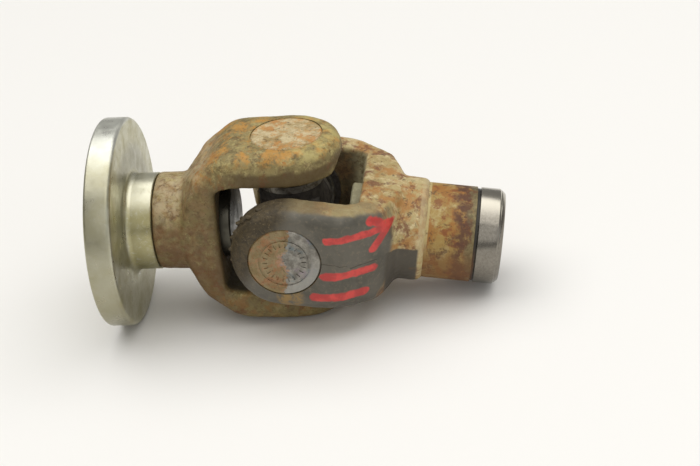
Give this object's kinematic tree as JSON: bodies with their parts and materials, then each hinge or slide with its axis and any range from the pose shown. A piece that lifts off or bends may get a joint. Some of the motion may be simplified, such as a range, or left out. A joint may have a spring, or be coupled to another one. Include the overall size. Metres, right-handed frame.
{
  "type": "universal joint",
  "caption": "Universal joint: two forged yokes on a needle-bearing cross, a round drive flange on one side and a turned stub shaft on the other.",
  "frame": {"origin": "centre of the drive flange's outer face", "axes": "+X along the flange's axis towards the stub shaft, +Z along the flange yoke's trunnion axis"},
  "size_m": [0.152, 0.08, 0.08],
  "materials": {
    "zinc_plate": "satin",
    "flange_forging": "matte",
    "shaft_forging": "matte",
    "turned_shaft": "satin",
    "cross_steel": "matte",
    "cup_steel": "satin",
    "polished_steel": "polished",
    "guard_steel": "satin",
    "spring_steel": "satin",
    "nipple_plate": "satin",
    "washer_plastic": "matte",
    "seal_rubber": "matte"
  },
  "bodies": {
    "flange_side": {"flange_hub": "zinc_plate", "flange_yoke": "flange_forging", "bearing_cup_top": "cup_steel", "thrust_washer_top": "washer_plastic", "cup_seal_top": "seal_rubber", "snap_ring_top": "spring_steel", "bearing_cup_bottom": "cup_steel", "thrust_washer_bottom": "washer_plastic", "cup_seal_bottom": "seal_rubber", "snap_ring_bottom": "spring_steel"},
    "cross": {"cross": "cross_steel", "grease_nipple_body": "nipple_plate", "grease_nipple_spring": "spring_steel", "seal_guard_top": "guard_steel", "seal_guard_bottom": "guard_steel", "seal_guard_near": "guard_steel", "seal_guard_far": "guard_steel"},
    "shaft_side": {"shaft_yoke": "shaft_forging", "stub_shaft": "turned_shaft", "bearing_cup_near": "cup_steel", "thrust_washer_near": "washer_plastic", "cup_seal_near": "seal_rubber", "snap_ring_near": "spring_steel", "bearing_cup_far": "cup_steel", "thrust_washer_far": "washer_plastic", "cup_seal_far": "seal_rubber", "snap_ring_far": "spring_steel"},
    "nipple_ball": {"grease_nipple_ball": "polished_steel"},
    "rollers_top": {"needle_rollers_top": "polished_steel"},
    "rollers_bottom": {"needle_rollers_bottom": "polished_steel"},
    "rollers_near": {"needle_rollers_near": "polished_steel"},
    "rollers_far": {"needle_rollers_far": "polished_steel"}
  },
  "joints": [
    {"name": "flange_trunnion", "type": "hinge", "parent": "flange_side", "child": "cross", "pos_m": [0.072, 0, 0], "axis": [0, 0, 1], "range_deg": [-12, 12]},
    {"name": "shaft_trunnion", "type": "hinge", "parent": "cross", "child": "shaft_side", "pos_m": [0.072, 0, 0], "axis": [0, 1, 0], "range_deg": [-20.4, 3.6]},
    {"name": "nipple_ball_lift", "type": "slide", "parent": "cross", "child": "nipple_ball", "axis": [0, -0.7071, 0.7071], "range_m": [0, 0.0005], "stiffness_N_per_m": 100, "springref_m": -0.0005},
    {"name": "roller_orbit_top", "type": "hinge", "parent": "flange_side", "child": "rollers_top", "pos_m": [0.072, 0, 0], "axis": [0, 0, 1], "range_deg": [-5.14, 5.14]},
    {"name": "roller_orbit_bottom", "type": "hinge", "parent": "flange_side", "child": "rollers_bottom", "pos_m": [0.072, 0, 0], "axis": [0, 0, 1], "range_deg": [-5.14, 5.14]},
    {"name": "roller_orbit_near", "type": "hinge", "parent": "cross", "child": "rollers_near", "pos_m": [0.072, 0, 0], "axis": [0, 1, 0], "range_deg": [-11.93, 2.19]},
    {"name": "roller_orbit_far", "type": "hinge", "parent": "cross", "child": "rollers_far", "pos_m": [0.072, 0, 0], "axis": [0, 1, 0], "range_deg": [-11.93, 2.19]}
  ],
  "couplings": [
    {"joint": "roller_orbit_top", "follows": "flange_trunnion", "ratio": 0.4202},
    {"joint": "roller_orbit_bottom", "follows": "flange_trunnion", "ratio": 0.4202},
    {"joint": "roller_orbit_near", "follows": "shaft_trunnion", "ratio": 0.5798},
    {"joint": "roller_orbit_far", "follows": "shaft_trunnion", "ratio": 0.5798}
  ]
}
